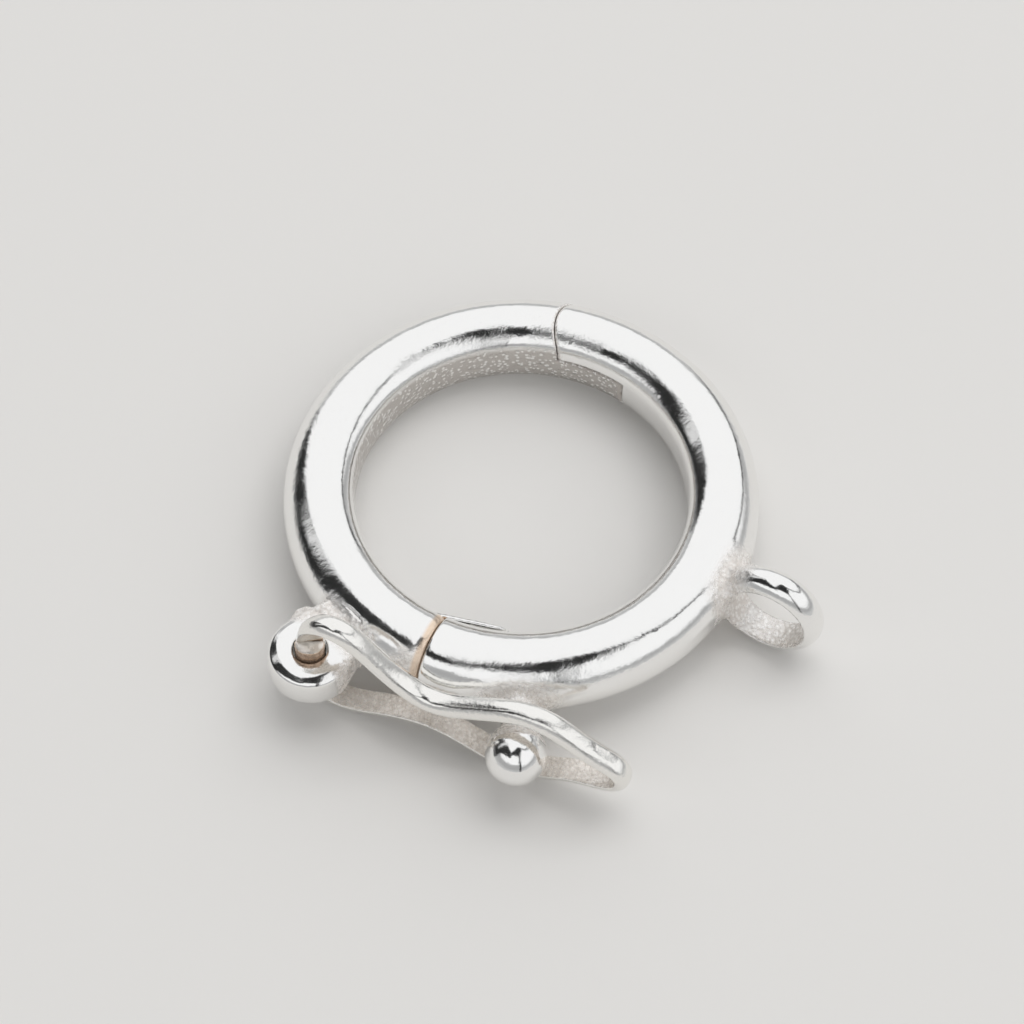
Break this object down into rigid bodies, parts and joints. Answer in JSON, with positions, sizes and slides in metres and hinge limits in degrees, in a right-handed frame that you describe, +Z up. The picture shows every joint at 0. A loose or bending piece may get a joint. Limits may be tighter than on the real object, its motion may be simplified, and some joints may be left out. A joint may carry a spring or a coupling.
{
  "type": "hinged ring clasp with safety catch",
  "caption": "Round hinged ring clasp with a swivelling figure-eight safety catch that closes over a ball-ended post, and a small side bail for a chain.",
  "frame": {"origin": "middle of the clasp's outline at the surface that it rests on", "axes": "+Z up, +X towards the bail, -Y towards the safety catch; the ring leans 2.4 degrees, as it lies by itself"},
  "size_m": [0.017, 0.0176, 0.0045],
  "materials": {
    "silver": "polished sterling silver, matt and grainy inside the ring and round the solder",
    "pin_silver": "polished sterling silver",
    "wire_silver": "polished sterling silver outside, matt on the flat inner side"
  },
  "bodies": {
    "fixed": {"fixed_half": "silver", "hinge_pin": "pin_silver"},
    "gate": {"gate_half": "silver"},
    "catch": {"safety_catch": "wire_silver"}
  },
  "joints": [
    {"name": "gate_hinge", "type": "hinge", "parent": "fixed", "child": "gate", "pos_m": [0.00194, 0.00713, 0.00127], "axis": [0.0117, -0.0405, -0.9991], "range_deg": [0, 35]},
    {"name": "catch_swing", "type": "hinge", "parent": "gate", "child": "catch", "pos_m": [-0.0072, -0.00471, 0.00164], "axis": [0.0117, -0.0405, -0.9991], "range_deg": [0, 140]}
  ],
  "couplings": [
    {"joint": "catch_swing", "follows": "gate_hinge", "ratio": 4}
  ]
}
